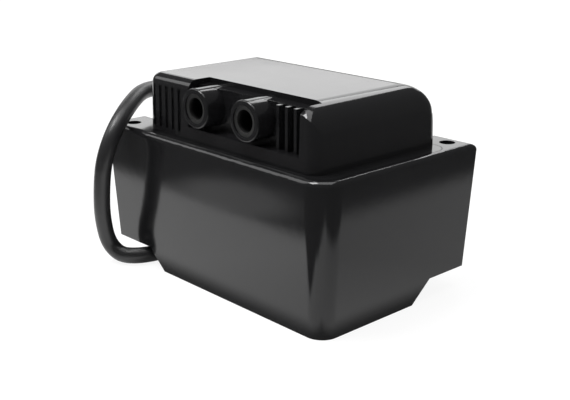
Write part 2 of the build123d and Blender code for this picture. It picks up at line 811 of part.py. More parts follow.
# Stripped cores at the lead's far end, lying inside the coil
brown_points = [
    (-38.17, 85.77, 2.1),
    (-30.8, 83.0, 1.5),
    (-23.4, 76.2, 1.5),
    (-21.6, 66.6, 1.5),
    (-23.6, 58.2, 1.5),
]
earth_points = [
    (-38.6, 84.6, 4.3),
    (-31.9, 81.9, 3.7),
    (-26.8, 74.6, 2.0),
    (-25.4, 65.6, 1.5),
    (-27.6, 57.2, 1.5),
]
blue_points = [
    (-39.03, 83.43, 2.1),
    (-33.0, 80.9, 1.5),
    (-29.6, 73.9, 1.5),
    (-29.4, 65.4, 1.5),
    (-32.2, 57.8, 1.5),
]
print("brown radii", [round(r, 1) for r in tangent_radii(brown_points)])
print("earth radii", [round(r, 1) for r in tangent_radii(earth_points)])
print("blue radii", [round(r, 1) for r in tangent_radii(blue_points)])
with BuildPart() as core_brown:
    with BuildLine() as brown_line:
        FilletPolyline(*brown_points, radius=tangent_radii(brown_points))
    with BuildSketch(Plane(brown_line.line @ 0, z_dir=brown_line.line % 0)):
        Circle(core_diameter / 2)
    sweep()

core_brown.part.label = "core_brown"
export_step(core_brown.part, "parts/core_brown.step")

with BuildPart() as core_blue:
    with BuildLine() as blue_line:
        FilletPolyline(*blue_points, radius=tangent_radii(blue_points))
    with BuildSketch(Plane(blue_line.line @ 0, z_dir=blue_line.line % 0)):
        Circle(core_diameter / 2)
    sweep()

core_blue.part.label = "core_blue"
export_step(core_blue.part, "parts/core_blue.step")

with BuildPart() as core_earth:
    with BuildLine() as earth_line:
        FilletPolyline(*earth_points, radius=tangent_radii(earth_points))
    with BuildSketch(Plane(earth_line.line @ 0, z_dir=earth_line.line % 0)):
        Circle(core_diameter / 2)
    sweep()

core_earth.part.label = "core_earth"
export_step(core_earth.part, "parts/core_earth.step")

# Tail of the lead inside the coil, up to where the sheath is stripped
tail_start = (coil_middle[0] - coil_start_radius + 2 * coil_turn_pitch, coil_middle[1], ground)
tail_points = [
    tail_start,
    (-65.0, 75.4, ground),
    (-60.8, 82.2, ground),
    (-53.6, 86.6, ground),
    (-45.6, 87.2, ground),
    (-38.6, 84.6, ground),
]
tail_radii = tangent_radii(tail_points)
print("tail radii", [round(r, 1) for r in tail_radii])
with BuildPart() as cable_tail:
    with BuildLine() as tail_line:
        FilletPolyline(*tail_points, radius=tail_radii)
    with BuildSketch(Plane(tail_line.line @ 0, z_dir=tail_line.line % 0)):
        Circle(cable_diameter / 2)
    sweep()
    add(core_brown.part, mode=Mode.SUBTRACT)
    add(core_blue.part, mode=Mode.SUBTRACT)
    add(core_earth.part, mode=Mode.SUBTRACT)

cable_tail.part.label = "cable_tail"
export_step(cable_tail.part, "parts/cable_tail.step")
print("tail length", round(tail_line.wires()[0].length, 1))


def spiral(start_radius, steps):
    """One clockwise turn of the flat coil, from its left side, the radius falling by a pitch."""
    points = []
    for i in range(steps + 1):
        angle = math.pi - 2 * math.pi * i / steps
        radius = start_radius - coil_turn_pitch * i / steps
        points.append((coil_middle[0] + radius * math.cos(angle), coil_middle[1] + radius * math.sin(angle)))
    return points


# Coil: two flat turns side by side as one solid, with the tie's groove pressed in
coil_outer = coil_start_radius + cable_diameter / 2
coil_inner = coil_start_radius - coil_turn_pitch - cable_diameter / 2
tie_middle = coil_middle[0] + coil_start_radius - coil_turn_pitch
tie_span = cable_diameter + coil_turn_pitch
with BuildPart() as cable_coil:
    with BuildSketch():
        with BuildLine():
            outer_turn = Spline(*spiral(coil_outer, 24))
            Line(outer_turn @ 1, outer_turn @ 0)
        make_face()
        with BuildLine():
            inner_turn = Spline(*spiral(coil_inner, 24))
            Line(inner_turn @ 1, inner_turn @ 0)
        make_face(mode=Mode.SUBTRACT)
    extrude(amount=cable_diameter)
    with BuildSketch(Plane.XZ.offset(-(coil_middle[1] - tie_width / 2))):
        with Locations((tie_middle, ground)):
            Rectangle(2 * tie_span, cable_diameter)
            Rectangle(tie_span - tie_thickness, cable_diameter - 2 * tie_thickness, mode=Mode.SUBTRACT)
    extrude(amount=-tie_width, mode=Mode.SUBTRACT)
    add(mains_cable.part, mode=Mode.SUBTRACT)
    add(cable_tail.part, mode=Mode.SUBTRACT)

cable_coil.part.label = "cable_coil"
export_step(cable_coil.part, "parts/cable_coil.step")

# Tie round both turns at the coil's right side
with BuildPart() as coil_tie:
    with BuildSketch(Plane.XZ.offset(-(coil_middle[1] - tie_width / 2))):
        with Locations((tie_middle, ground)):
            RectangleRounded(tie_span + tie_thickness, cable_diameter, tie_thickness)
            Rectangle(tie_span - tie_thickness, cable_diameter - 2 * tie_thickness, mode=Mode.SUBTRACT)
    extrude(amount=-tie_width)

coil_tie.part.label = "coil_tie"
export_step(coil_tie.part, "parts/coil_tie.step")

# Crimped ferrules on the three cores: a plastic collar and a metal pin in one piece
with BuildPart() as ferrule_brown:
    with BuildSketch(Plane(brown_line.line @ 1, z_dir=brown_line.line % 1)):
        Circle(ferrule_collar / 2)
    extrude(amount=ferrule_collar_length)
    with BuildSketch(Plane(brown_line.line @ 1, z_dir=brown_line.line % 1)):
        Circle(ferrule_pin / 2)
    extrude(amount=ferrule_length)

ferrule_brown.part.label = "ferrule_brown"
export_step(ferrule_brown.part, "parts/ferrule_brown.step")

with BuildPart() as ferrule_blue:
    with BuildSketch(Plane(blue_line.line @ 1, z_dir=blue_line.line % 1)):
        Circle(ferrule_collar / 2)
    extrude(amount=ferrule_collar_length)
    with BuildSketch(Plane(blue_line.line @ 1, z_dir=blue_line.line % 1)):
        Circle(ferrule_pin / 2)
    extrude(amount=ferrule_length)

ferrule_blue.part.label = "ferrule_blue"
export_step(ferrule_blue.part, "parts/ferrule_blue.step")

with BuildPart() as ferrule_earth:
    with BuildSketch(Plane(earth_line.line @ 1, z_dir=earth_line.line % 1)):
        Circle(ferrule_collar / 2)
    extrude(amount=ferrule_collar_length)
    with BuildSketch(Plane(earth_line.line @ 1, z_dir=earth_line.line % 1)):
        Circle(ferrule_pin / 2)
    extrude(amount=ferrule_length)

ferrule_earth.part.label = "ferrule_earth"
export_step(ferrule_earth.part, "parts/ferrule_earth.step")
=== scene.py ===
import math

import bmesh
import bpy
from mathutils import Matrix, Vector


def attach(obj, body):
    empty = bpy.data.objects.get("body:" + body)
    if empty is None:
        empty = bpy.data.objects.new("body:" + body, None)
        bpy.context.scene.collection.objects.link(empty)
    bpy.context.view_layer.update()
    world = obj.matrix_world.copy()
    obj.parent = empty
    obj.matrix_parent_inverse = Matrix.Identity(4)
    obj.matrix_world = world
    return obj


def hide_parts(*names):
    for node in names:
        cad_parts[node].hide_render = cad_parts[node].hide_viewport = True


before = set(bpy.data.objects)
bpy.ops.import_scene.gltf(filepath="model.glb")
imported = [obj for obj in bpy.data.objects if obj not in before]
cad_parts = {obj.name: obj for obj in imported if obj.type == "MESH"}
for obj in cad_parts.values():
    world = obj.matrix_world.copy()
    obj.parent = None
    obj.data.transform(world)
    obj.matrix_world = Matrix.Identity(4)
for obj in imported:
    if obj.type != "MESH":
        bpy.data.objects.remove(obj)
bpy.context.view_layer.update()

# Camera: it stands before the object's near corner, a little above the cover, and looks
# slightly down at it through a normal lens, as the photograph was taken.
camera_data = bpy.data.cameras.new("camera")
camera_data.sensor_width = 36.0
camera_data.lens = 61.5
camera_data.clip_start = 0.02
camera_data.clip_end = 30.0
camera = bpy.data.objects.new("camera", camera_data)
bpy.context.scene.collection.objects.link(camera)
camera_place = (0.26190, -0.24217, 0.14233)
camera_right = Vector((0.6796, 0.7336, 0.0)).normalized()
camera_back = Vector((0.6987, -0.6472, 0.3049)).normalized()
camera_up = camera_back.cross(camera_right)
camera_axes = Matrix((camera_right, camera_up, camera_back)).transposed().to_4x4()
camera.matrix_world = Matrix.Translation(camera_place) @ camera_axes
bpy.context.scene.camera = camera
bpy.context.scene.view_settings.view_transform = "Standard"


# Table top and backdrop: a white sweep of matt paper, lit softly from above. The camera sees
# it white, with a faint shadow under the object, and the object's gloss mirrors a glow of
# painted light and shade on it, with lit and dark parts.
def empty_material(name):
    """A new material without nodes, and its node tree."""
    material = bpy.data.materials.new(name)
    material.use_nodes = True
    material.node_tree.nodes.clear()
    return material, material.node_tree


def add_node(tree, kind, inputs=(), **settings):
    """A new node, each of its inputs linked to another node's output or set to a plain value."""
    node = tree.nodes.new(kind)
    for setting, value in settings.items():
        setattr(node, setting, value)
    for key, value in dict(inputs).items():
        if isinstance(value, bpy.types.NodeSocket):
            tree.links.new(value, node.inputs[key])
        else:
            node.inputs[key].default_value = value
    return node


def maths(tree, operation, *values):
    """The result of one operation on other nodes' outputs and plain numbers."""
    return add_node(tree, "ShaderNodeMath", dict(enumerate(values)), operation=operation).outputs[0]


def graded(tree, value, across=(0.0, 1.0), levels=(0.0, 1.0), smooth=False):
    """Goes from one level to the other where the value goes across a range, and stays there."""
    inputs = {
        "Value": value,
        "From Min": across[0],
        "From Max": across[1],
        "To Min": levels[0],
        "To Max": levels[1],
    }
    way = "SMOOTHSTEP" if smooth else "LINEAR"
    return add_node(tree, "ShaderNodeMapRange", inputs, interpolation_type=way).outputs[0]


def either_shader(tree, share, first, second):
    """The first shader where the share is 0, and the second where it is 1."""
    return add_node(tree, "ShaderNodeMixShader", {0: share, 1: first, 2: second}).outputs[0]


floor_half = 6.0
floor_mesh = bpy.data.meshes.new("floor")
floor_mesh.from_pydata(
    [
        (-floor_half, -floor_half, 0),
        (floor_half, -floor_half, 0),
        (floor_half, floor_half, 0),
        (-floor_half, floor_half, 0),
    ],
    [],
    [(0, 1, 2, 3)],
)
floor = bpy.data.objects.new("floor", floor_mesh)
bpy.context.scene.collection.objects.link(floor)
white_table, tree = empty_material("white_table")
paper = add_node(tree, "ShaderNodeBsdfDiffuse", {"Color": (0.86, 0.86, 0.86, 1)})
glow = add_node(tree, "ShaderNodeEmission", {"Color": (1, 1, 1, 1), "Strength": 1.12})
rays = add_node(tree, "ShaderNodeLightPath")
glow_share = maths(tree, "MULTIPLY", rays.outputs["Is Camera Ray"], 0.80)
to_camera = either_shader(tree, glow_share, paper.outputs[0], glow.outputs[0])
# What the gloss sees is a glow of painted light and shade: a lit table with soft front and right
# edges, brighter on the left, with a half-lit patch before it, and the dark studio beyond
front_fade = (-0.101, -0.088)
right_fade = (0.142, 0.122)
patch_middle = (-0.070, -0.106, 0)
patch_reach = (0.042, 0.020, 1)
patch_fade = (1.2, 0.5)
patch_level = 0.5
place = add_node(tree, "ShaderNodeTexCoord").outputs["Object"]
on_floor = add_node(tree, "ShaderNodeSeparateXYZ", {0: place})
behind_front = graded(tree, on_floor.outputs["Y"], front_fade, smooth=True)
inside_right = graded(tree, on_floor.outputs["X"], right_fade, smooth=True)
on_table = maths(tree, "MULTIPLY", behind_front, inside_right)
in_patch = add_node(
    tree,
    "ShaderNodeMapping",
    {"Vector": place, "Location": patch_middle, "Scale": patch_reach},
    vector_type="TEXTURE",
)
from_patch = add_node(tree, "ShaderNodeVectorMath", {0: in_patch.outputs[0]}, operation="LENGTH")
patch = graded(
    tree, from_patch.outputs["Value"], patch_fade, levels=(0.0, patch_level), smooth=True
)
table_or_patch = maths(tree, "MAXIMUM", on_table, patch)
# Painted shade: a dark wedge in the table's glow that opens away from the tub's near corner, which only that
# corner mirrors
wedge_tip = (0.040, -0.067, 0)
wedge_turn = (0, 0, math.radians(-7.0))
wedge_fade = (-0.006, 0.010)
in_wedge = add_node(
    tree,
    "ShaderNodeMapping",
    {"Vector": place, "Location": wedge_tip, "Rotation": wedge_turn},
    vector_type="TEXTURE",
)
wedge_place = add_node(tree, "ShaderNodeSeparateXYZ", {0: in_wedge.outputs[0]})
beside_middle = maths(tree, "ABSOLUTE", wedge_place.outputs["X"])
from_wedge = maths(tree, "ADD", beside_middle, wedge_place.outputs["Y"])
outside_wedge = graded(tree, from_wedge, wedge_fade, smooth=True)
lit_part = maths(tree, "MULTIPLY", table_or_patch, outside_wedge)
# The table's light falls off from its left front to its right back
side_fade = (-0.08, 0.12)
side_levels = (1.15, 0.56)
along_table = maths(tree, "ADD", on_floor.outputs["X"], on_floor.outputs["Y"])
side_light = graded(tree, along_table, side_fade, side_levels)
# The contact shadow round the tub's foot, by the distance outside the foot's rectangle
foot_half = (0.0575, 0.0365, 0.0)
contact_fade = (0.001, 0.011)
contact_levels = (0.12, 1.0)
unlit_level = 0.10
folded = add_node(tree, "ShaderNodeVectorMath", {0: place}, operation="ABSOLUTE")
gap = add_node(tree, "ShaderNodeVectorMath", {0: folded.outputs[0], 1: foot_half}, operation="SUBTRACT")
foot_gap = add_node(tree, "ShaderNodeSeparateXYZ", {0: gap.outputs[0]})
foot_distance = maths(tree, "MAXIMUM", foot_gap.outputs["X"], foot_gap.outputs["Y"])
contact = graded(tree, foot_distance, contact_fade, contact_levels, smooth=True)
lit_table = maths(tree, "MULTIPLY", lit_part, contact)
table_level = maths(tree, "MULTIPLY_ADD", lit_table, side_light, unlit_level)
table_light = add_node(tree, "ShaderNodeEmission", {"Strength": table_level})
# Painted reflection: glossy rays see this glow of painted light and shade in place of the lit paper
seen = either_shader(tree, rays.outputs["Is Glossy Ray"], to_camera, table_light.outputs[0])
add_node(tree, "ShaderNodeOutputMaterial", {"Surface": seen})
floor_mesh.materials.append(white_table)

# Studio air: white behind the object for the camera, dim in its reflections so that the gloss
# reads as black, and a soft light from all sides on the rest.
world = bpy.data.worlds.new("studio")
bpy.context.scene.world = world
world.use_nodes = True
tree = world.node_tree
tree.nodes.clear()
backdrop = add_node(tree, "ShaderNodeBackground", {"Color": (1, 1, 1, 1), "Strength": 1.0})
air = add_node(tree, "ShaderNodeBackground", {"Strength": 0.30})
air_in_gloss = add_node(tree, "ShaderNodeBackground", {"Strength": 0.16})
rays = add_node(tree, "ShaderNodeLightPath")
air_or_gloss = either_shader(
    tree, rays.outputs["Is Glossy Ray"], air.outputs[0], air_in_gloss.outputs[0]
)
seen = either_shader(tree, rays.outputs["Is Camera Ray"], air_or_gloss, backdrop.outputs[0])
add_node(tree, "ShaderNodeOutputWorld", {"Surface": seen})


# Softboxes: a broad one overhead, a wide one behind that the cover's top mirrors, one on the
# left for the rims, and one high behind for the cover's rounded shoulder. A small lamp high
# in front gives the glints on the corners.
def softbox(name, place, aim, size, radiance):
    """A rectangular area light with a given radiance, aimed at a point."""
    data = bpy.data.lights.new(name, "AREA")
    data.shape = "RECTANGLE"
    data.size, data.size_y = size
    data.energy = radiance * math.pi * size[0] * size[1]
    light = bpy.data.objects.new(name, data)
    bpy.context.scene.collection.objects.link(light)
    light.location = place
    light.rotation_euler = (Vector(aim) - Vector(place)).to_track_quat("-Z", "Y").to_euler()


middle = (0.0, 0.0, 0.04)
softbox("softbox_top", (0.05, 0.05, 1.2), middle, size=(0.9, 0.9), radiance=2.2)
softbox("softbox_back", (-0.95, 0.87, 0.52), middle, size=(1.5, 0.5), radiance=1.55)
softbox("softbox_left", (-0.90, -0.55, 0.88), middle, size=(0.6, 0.8), radiance=1.8)
softbox("softbox_shoulder", (-0.468, 0.879, 0.876), middle, size=(0.42, 0.40), radiance=3.6)
softbox("lamp_small", (-0.24, -0.32, 0.96), middle, size=(0.40, 0.40), radiance=12.0)


# Tub: the housing that everything is potted into, one injection moulding in glossy black
# thermoplastic, drafted for the mould, with a screw lug at two opposite corners.
same_spot = 2e-6


def plain_mesh(piece):
    """The mesh of a piece as its modifiers leave it."""
    evaluated = piece.evaluated_get(bpy.context.evaluated_depsgraph_get())
    return bpy.data.meshes.new_from_object(evaluated)


def smooth_copy(node, name, reshape=None):
    """A piece with the CAD node's shape, its facets merged and shaded as the smooth moulding."""
    flat = math.radians(0.4)
    crease = math.radians(34.0)
    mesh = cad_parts[node].data.copy()
    mesh.name = name
    mesh.materials.clear()
    form = bmesh.new()
    form.from_mesh(mesh)
    bmesh.ops.remove_doubles(form, verts=form.verts, dist=same_spot)
    bmesh.ops.dissolve_limit(
        form, angle_limit=flat, verts=form.verts, edges=form.edges, delimit={"NORMAL"}
    )
    if reshape:
        reshape(form)
    for face in form.faces:
        face.smooth = True
    for edge in form.edges:
        edge.smooth = edge.calc_face_angle(0.0) < crease
    form.to_mesh(mesh)
    form.free()
    piece = bpy.data.objects.new(name, mesh)
    bpy.context.scene.collection.objects.link(piece)
    even = piece.modifiers.new("even_normals", "WEIGHTED_NORMAL")
    even.keep_sharp = True
    even.weight = 100
    shaded = plain_mesh(piece)
    piece.modifiers.clear()
    piece.data = shaded
    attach(piece, "root")
    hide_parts(node)
    return piece


def noise(tree, place, scale, detail=2.0):
    """Clouds between 0 and 1, finer with a larger scale."""
    inputs = {"Vector": place, "Scale": scale, "Detail": detail}
    return add_node(tree, "ShaderNodeTexNoise", inputs).outputs["Fac"]


def two_tone(tree, share, first, second):
    """The first colour where the share is 0, and the second where it is 1."""
    tones = {}
    for key, tone in (("A", first), ("B", second)):
        tones[key] = tone if isinstance(tone, bpy.types.NodeSocket) else (*tone, 1)
    return add_node(tree, "ShaderNodeMix", {"Factor": share, **tones}, data_type="RGBA").outputs["Result"]


def surface(tree, inputs):
    """Ends a material with its surface, made from these inputs."""
    shader = add_node(tree, "ShaderNodeBsdfPrincipled", inputs)
    add_node(tree, "ShaderNodeOutputMaterial", {"Surface": shader.outputs[0]})


def moulded_plastic(name, deep, pale, roughness, roughness_spread, grain_per_m, grain_depth):
    """Moulded plastic: slightly cloudy colour, uneven gloss, fine grain and a few rubbed lines."""
    material, tree = empty_material(name)
    place = add_node(tree, "ShaderNodeTexCoord").outputs["Object"]
    cloud = noise(tree, place, scale=38.0, detail=4.0)
    # Handling marks: thin, long smears that only show in the gloss
    smear_place = add_node(
        tree,
        "ShaderNodeMapping",
        {"Vector": place, "Rotation": (0.5, 0.3, 0.4), "Scale": (900.0, 60.0, 140.0)},
    )
    smear = noise(tree, smear_place.outputs[0], scale=1.0, detail=3.0)
    smear_share = graded(tree, smear, across=(0.60, 0.78), levels=(0.0, 0.5))
    uneven = maths(tree, "ADD", cloud, smear_share)
    grain = noise(tree, place, scale=grain_per_m)
    relief = add_node(
        tree, "ShaderNodeBump", {"Strength": 1.0, "Distance": grain_depth, "Height": grain}
    )
    surface(
        tree,
        {
            "Base Color": two_tone(tree, cloud, deep, pale),
            "Roughness": graded(
                tree, uneven, across=(0.3, 1.1), levels=(roughness, roughness + roughness_spread)
            ),
            "IOR": 1.52,
            "Normal": relief.outputs[0],
        },
    )
    return material


black_moulding = moulded_plastic(
    "glossy_black_moulding",
    deep=(0.0085, 0.0085, 0.0095),
    pale=(0.014, 0.014, 0.0145),
    roughness=0.085,
    roughness_spread=0.06,
    grain_per_m=260.0,
    grain_depth=0.000014,
)
tub = smooth_copy("housing", "tub")
tub.data.materials.append(black_moulding)


# Core: an E stack and an I stack of stamped electrical-steel sheets, pressed together, with
# two packs of shunts between the coils. All of it is sealed in the resin.
def bands(tree, place, direction, layer_thickness, distortion):
    """Light and dark bands in one direction, one pair of them for every 6.4 layers."""
    pair_width = 6.4 * layer_thickness
    scale = math.pi / (10 * pair_width)
    inputs = {"Vector": place, "Scale": scale, "Distortion": distortion}
    return add_node(tree, "ShaderNodeTexWave", inputs, bands_direction=direction).outputs["Fac"]


def finish_node(node, material):
    """Keeps a CAD node's own shape and gives it its material."""
    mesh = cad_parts[node].data
    mesh.materials.clear()
    mesh.materials.append(material)


sheet_thickness = 0.0005
sheet_relief = 0.00008
laminated_steel, tree = empty_material("laminated_steel")
place = add_node(tree, "ShaderNodeTexCoord").outputs["Object"]
sheets = bands(tree, place, "Z", sheet_thickness, distortion=0.6)
oil_film = noise(tree, place, scale=420.0)
sheet_edges = add_node(tree, "ShaderNodeBump", {"Distance": sheet_relief, "Height": sheets})
surface(
    tree,
    {
        "Base Color": two_tone(tree, sheets, (0.16, 0.155, 0.15), (0.42, 0.42, 0.43)),
        "Metallic": 0.9,
        "Roughness": graded(tree, oil_film, levels=(0.28, 0.55)),
        "Normal": sheet_edges.outputs[0],
    },
)
for node in ("core_e", "core_i", "shunts_left", "shunts_right"):
    finish_node(node, laminated_steel)

# Bobbins: coil formers moulded in pale thermoplastic and slid on to the core's centre leg,
# the primary's in the middle and a secondary's at each end.
bobbin_plastic = moulded_plastic(
    "bobbin_plastic",
    deep=(0.62, 0.59, 0.50),
    pale=(0.74, 0.71, 0.62),
    roughness=0.42,
    roughness_spread=0.15,
    grain_per_m=500.0,
    grain_depth=0.00004,
)
for node in ("primary_bobbin", "secondary_bobbin_left", "secondary_bobbin_right"):
    finish_node(node, bobbin_plastic)


# Windings: enamelled copper wire wound on the bobbins in even layers, thicker in the primary
# than in the secondaries. Yellow tape is wrapped round each coil.
def wound_wire(name, wire_diameter):
    """Enamelled wire side by side along X, with painted shade in the grooves between turns."""
    material, tree = empty_material(name)
    place = add_node(tree, "ShaderNodeTexCoord").outputs["Object"]
    turns = bands(tree, place, "X", wire_diameter, distortion=0.3)
    rise = add_node(tree, "ShaderNodeBump", {"Distance": wire_diameter * 0.3, "Height": turns})
    surface(
        tree,
        {
            # The darker colour between the turns is painted shade
            "Base Color": two_tone(tree, turns, (0.24, 0.06, 0.02), (0.74, 0.31, 0.12)),
            "Metallic": 0.85,
            "Roughness": graded(tree, turns, levels=(0.45, 0.24)),
            "Normal": rise.outputs[0],
        },
    )
    return material


finish_node("primary_winding", wound_wire("primary_wire", 0.0005))
fine_wire = wound_wire("secondary_wire", 0.0002)
for node in ("secondary_winding_left", "secondary_winding_right"):
    finish_node(node, fine_wire)
coil_tape = moulded_plastic(
    "coil_tape",
    deep=(0.56, 0.40, 0.05),
    pale=(0.70, 0.53, 0.10),
    roughness=0.30,
    roughness_spread=0.2,
    grain_per_m=900.0,
    grain_depth=0.00003,
)
for node in ("primary_tape", "secondary_tape_left", "secondary_tape_right"):
    finish_node(node, coil_tape)

# High voltage leads: stranded wire in thick red silicone rubber, from each secondary up to its
# outlet's spike. They lie in the resin.
silicone = moulded_plastic(
    "silicone_rubber",
    deep=(0.36, 0.045, 0.03),
    pale=(0.46, 0.07, 0.045),
    roughness=0.45,
    roughness_spread=0.15,
    grain_per_m=700.0,
    grain_depth=0.00003,
)
for node in ("hv_lead_left", "hv_lead_right"):
    finish_node(node, silicone)


# Inner ends of the mains lead: stranded copper in soft vinyl, brown and blue soldered to the
# primary, and the earth to a brass tag that a rivet holds on the core.
def core_insulation(name, deep, pale):
    """Coloured soft insulation on one core."""
    return moulded_plastic(
        name,
        deep,
        pale,
        roughness=0.32,
        roughness_spread=0.12,
        grain_per_m=800.0,
        grain_depth=0.00002,
    )


def bare_metal(name, colour, roughness, scratch_per_m):
    """Bare metal with fine drawn lines and a slightly uneven shine."""
    material, tree = empty_material(name)
    place = add_node(tree, "ShaderNodeTexCoord").outputs["Object"]
    drawn = noise(tree, place, scale=scratch_per_m, detail=5.0)
    surface(
        tree,
        {
            "Base Color": two_tone(tree, drawn, [part * 0.72 for part in colour], colour),
            "Metallic": 1.0,
            "Roughness": graded(tree, drawn, levels=roughness),
        },
    )
    return material


brown_insulation = core_insulation("brown_insulation", (0.085, 0.032, 0.014), (0.115, 0.045, 0.02))
blue_insulation = core_insulation("blue_insulation", (0.012, 0.075, 0.34), (0.02, 0.10, 0.42))
green_insulation = core_insulation("green_insulation", (0.02, 0.20, 0.035), (0.03, 0.26, 0.05))
brass = bare_metal("turned_brass", (0.83, 0.62, 0.28), roughness=(0.18, 0.42), scratch_per_m=900.0)
finish_node("inner_core_brown", brown_insulation)
finish_node("inner_core_blue", blue_insulation)
finish_node("inner_core_earth", green_insulation)
finish_node("earth_tag", brass)

# Outlets: a moulded insulator pressed into each of the cover's tubes, and in its middle a
# turned brass spike, which the ignition lead's end goes on to.
insulator_plastic = moulded_plastic(
    "insulator_plastic",
    deep=(0.030, 0.030, 0.030),
    pale=(0.042, 0.042, 0.041),
    roughness=0.34,
    roughness_spread=0.12,
    grain_per_m=420.0,
    grain_depth=0.00002,
)
# Painted shade: the bores are darker than the rings round their mouths, deeper in
mouth_fade = (-0.0362, -0.0345)
bore_shade_colour = (0.004, 0.004, 0.004)
tree = insulator_plastic.node_tree
shader = next(node for node in tree.nodes if node.type == "BSDF_PRINCIPLED")
ring_colour = shader.inputs["Base Color"].links[0].from_socket
place = add_node(tree, "ShaderNodeTexCoord").outputs["Object"]
into_bore = add_node(tree, "ShaderNodeSeparateXYZ", {0: place})
bore_shade_share = graded(tree, into_bore.outputs["Y"], mouth_fade)
tree.links.new(two_tone(tree, bore_shade_share, ring_colour, bore_shade_colour), shader.inputs["Base Color"])
for side in ("left", "right"):
    insulator = smooth_copy(f"outlet_insulator_{side}", f"outlet_sleeve_{side}")
    insulator.data.materials.append(insulator_plastic)
    spike = smooth_copy(f"outlet_pin_{side}", f"outlet_spike_{side}")
    spike.data.materials.append(brass)

# Potting: mineral-filled casting resin, poured round the coils to just under the cover and
# set hard, so that the core and the windings can't move or spark over.
resin = moulded_plastic(
    "casting_resin",
    deep=(0.022, 0.017, 0.013),
    pale=(0.045, 0.034, 0.025),
    roughness=0.25,
    roughness_spread=0.3,
    grain_per_m=320.0,
    grain_depth=0.00012,
)
finish_node("potting_resin", resin)

# Cover: the second black moulding, let into the tub's rim. Its front steps down to a bay with
# the outlet tubes and stiffening ribs. Its shoulder is rounder along the back and right edges
# and round the solid corner to the right of the bay.
lid_wall = 0.0026
lid_round = 0.0040
shoulder_radius = 0.0105
shoulder_rows = 14
shoulder_blend = 5.0
bay_end = 0.0440


def round_shoulder(form):
    """Lowers the lid's top, and the ceiling under it, along the edges that are rounder."""
    same_height = 0.0002
    top = max(vertex.co.z for vertex in form.verts)
    wall_top = top - lid_round
    wall_tops = [vertex.co for vertex in form.verts if abs(wall_top - vertex.co.z) < same_height]
    right = max(place.x for place in wall_tops)
    back = max(place.y for place in wall_tops)
    front = min(place.y for place in wall_tops)
    # Rows of edges for the rounding, at even turns from the wall to the flat top
    for row in range(2, shoulder_rows + 1):
        inset = shoulder_radius * (1 - math.cos(math.pi / 2 * row / shoulder_rows))
        rows = [
            ((right - inset, 0, 0), (1, 0, 0)),
            ((0, back - inset, 0), (0, 1, 0)),
            ((0, front + inset, 0), (0, 1, 0)),
        ]
        for row_place, across in rows:
            cut = form.verts[:] + form.edges[:] + form.faces[:]
            bmesh.ops.bisect_plane(form, geom=cut, dist=1e-7, plane_co=row_place, plane_no=across)
    form.normal_update()
    for vertex in form.verts:
        place = vertex.co
        near_edges = [right - place.x, back - place.y]
        if place.x > bay_end - same_spot:
            near_edges.append(place.y - front)
        # How far the point lies past the rounding's start, blended where two edges meet
        reaches = [max(0.0, shoulder_radius - distance) ** shoulder_blend for distance in near_edges]
        reach = min(sum(reaches) ** (1 / shoulder_blend), shoulder_radius)
        height = top - shoulder_radius + math.sqrt(shoulder_radius**2 - reach**2)
        faces_down = vertex.normal.z < -0.1
        if faces_down:
            height -= lid_wall
        if place.z > top - shoulder_radius:
            place.z = min(place.z, height)
    bmesh.ops.remove_doubles(form, verts=form.verts, dist=same_spot)
    bmesh.ops.dissolve_degenerate(form, dist=same_spot / 2, edges=form.edges)


lid = smooth_copy("cover", "lid", round_shoulder)
lid.data.materials.append(black_moulding)

# Strain relief: a soft black vinyl grommet snapped into the cover's left wall, with a slotted
# sleeve that tapers and bends with the lead. It is moulded in one round the lead.
relief_exit = (-0.05982, -0.00214, 0.064)
relief_line = [
    (-0.0340, 0.005, 0.064),
    (-0.0400, 0.005, 0.064),
    (-0.0445, 0.005, 0.064),
    (-0.04813, 0.00467, 0.064),
    (-0.05161, 0.00369, 0.064),
    (-0.05488, 0.00208, 0.064),
    (-0.05769, -0.00007, 0.064),
    relief_exit,
]
# The sleeve's radius along its line, in shares of the line and of the radius unit: the collar
# inside the wall, the neck in the hole, the flange outside, and the taper to the tip
radius_unit = 0.01
relief_radii = [
    (0.0, 0.60), (0.012, 0.65), (0.055, 0.65), (0.06, 0.5), (0.150, 0.5), (0.152, 0.74), (0.162, 0.79),
    (0.215, 0.79), (0.225, 0.74), (0.228, 0.585), (0.34, 0.565), (0.97, 0.415), (0.99, 0.40), (1.0, 0.375),
]
tip_share = 0.93
slot_fade = (0.12, 0.20)


def guide_line(name, points, kind="NURBS", closed=False):
    """A curve object: smooth and clamped at its ends, or straight from point to point."""
    data = bpy.data.curves.new(name, "CURVE")
    data.dimensions = "3D"
    data.resolution_u = 10
    spline = data.splines.new(kind)
    spline.points.add(len(points) - 1)
    for point, place in zip(spline.points, points):
        point.co = (*place, 1.0)
    if kind == "NURBS":
        spline.order_u = 3
        spline.use_endpoint_u = True
    spline.use_cyclic_u = closed
    line = bpy.data.objects.new(name, data)
    bpy.context.scene.collection.objects.link(line)
    return line


def node_group(name, size_names):
    """A new Geometry Nodes tree for a shape: its sizes and its material are named inputs."""
    group = bpy.data.node_groups.new(name, "GeometryNodeTree")
    group.interface.new_socket("Geometry", in_out="INPUT", socket_type="NodeSocketGeometry")
    for size_name in size_names:
        group.interface.new_socket(size_name, in_out="INPUT", socket_type="NodeSocketFloat")
    group.interface.new_socket("Material", in_out="INPUT", socket_type="NodeSocketMaterial")
    group.interface.new_socket("Geometry", in_out="OUTPUT", socket_type="NodeSocketGeometry")
    return group, group.nodes.new("NodeGroupInput").outputs


def end_group(group, given, shape):
    """Ends a tree with its instances made real and the piece's material on them."""
    real = add_node(group, "GeometryNodeRealizeInstances", {0: shape})
    painted = add_node(
        group, "GeometryNodeSetMaterial", {"Geometry": real.outputs[0], "Material": given["Material"]}
    )
    add_node(group, "NodeGroupOutput", {"Geometry": painted.outputs[0]})


